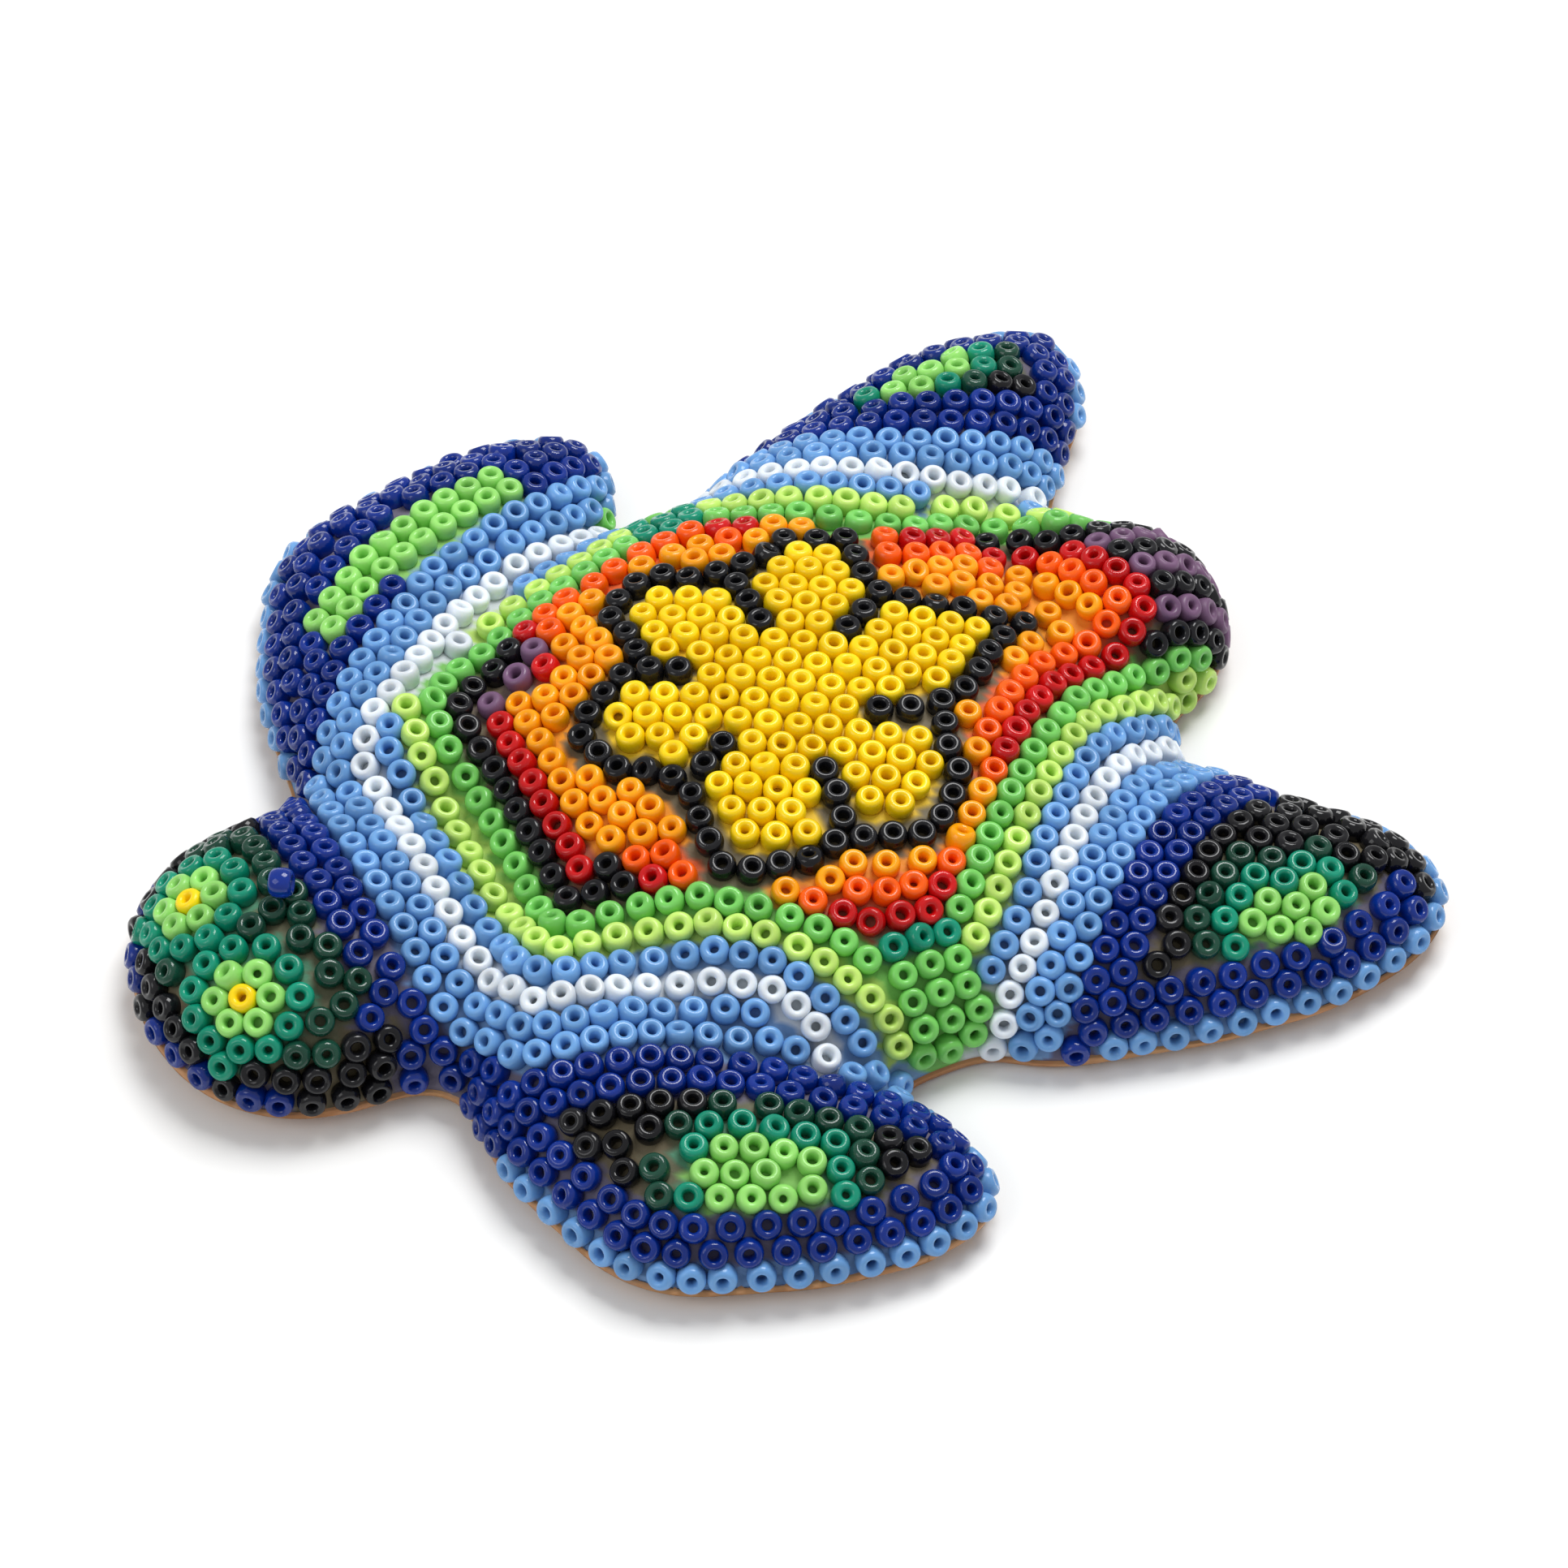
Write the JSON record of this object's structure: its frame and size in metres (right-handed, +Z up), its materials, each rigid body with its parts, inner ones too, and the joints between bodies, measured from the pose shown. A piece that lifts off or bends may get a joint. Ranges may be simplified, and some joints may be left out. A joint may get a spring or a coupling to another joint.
{
  "type": "beaded sea turtle figure",
  "caption": "Flat sea turtle figure of carved wood coated in beeswax and covered with glass seed beads in a flower and banded picture.",
  "frame": {"origin": "middle of the flat belly, on the surface the turtle rests on", "axes": "+Z up out of the shell, -Y towards the head and +Y towards the tail, +X towards the turtle's own left side"},
  "size_m": [0.0768, 0.085, 0.0124],
  "materials": {
    "yellow": "opaque, glossy",
    "amber": "opaque, glossy",
    "orange": "opaque, glossy",
    "red": "clear-bodied, glossy",
    "black": "opaque, glossy",
    "green": "opaque, glossy",
    "lime": "opaque, glossy",
    "light_blue": "opaque, glossy",
    "white": "opaque, glossy",
    "cobalt": "translucent, glossy",
    "light_green": "opaque, glossy",
    "teal": "opaque, glossy",
    "dark_green": "translucent, glossy",
    "purple": "opaque, satin",
    "wax": "pressed beeswax with resin, satin",
    "wood": "hand-carved, thin varnish"
  },
  "bodies": {
    "root": {"blue_front": "light_blue", "blue_rear_left": "light_blue", "blue_rear_right": "light_blue", "eye_left_bead": "yellow", "eye_left_ring": "light_green", "eye_right_bead": "yellow", "eye_right_ring": "light_green", "fore_left_black": "black", "fore_left_cobalt": "cobalt", "fore_left_light": "light_green", "fore_left_rim": "light_blue", "fore_left_root": "cobalt", "fore_left_teal": "teal", "fore_right_cobalt": "cobalt", "fore_right_rim": "light_blue", "fore_right_root": "cobalt", "fore_right_stripe": "light_green", "green_front": "green", "green_rear_left": "green", "green_rear_right": "green", "head_dark_green": "dark_green", "head_rim": "black", "head_teal": "teal", "hind_left_black": "black", "hind_left_cobalt": "cobalt", "hind_left_light": "light_green", "hind_left_rim": "light_blue", "hind_left_root": "cobalt", "hind_left_teal": "teal", "hind_right_black": "black", "hind_right_cobalt": "cobalt", "hind_right_light": "light_green", "hind_right_rim": "light_blue", "hind_right_root": "cobalt", "hind_right_teal": "teal", "lime_front": "lime", "lime_rear_left": "lime", "lime_rear_right": "lime", "neck_cobalt": "cobalt", "shell_amber_front": "amber", "shell_amber_rear": "amber", "shell_black_front": "black", "shell_corner_left": "teal", "shell_corner_right": "teal", "shell_flower_outline": "black", "shell_flower_yellow": "yellow", "shell_orange": "orange", "shell_red": "red", "sky_front": "light_blue", "sky_rear_left": "light_blue", "sky_rear_right": "light_blue", "stray_bead": "cobalt", "tail_black": "black", "tail_purple": "purple", "wax_coat": "wax", "white_front": "white", "white_rear_left": "white", "white_rear_right": "white", "wood_core": "wood"}
  },
  "joints": []
}
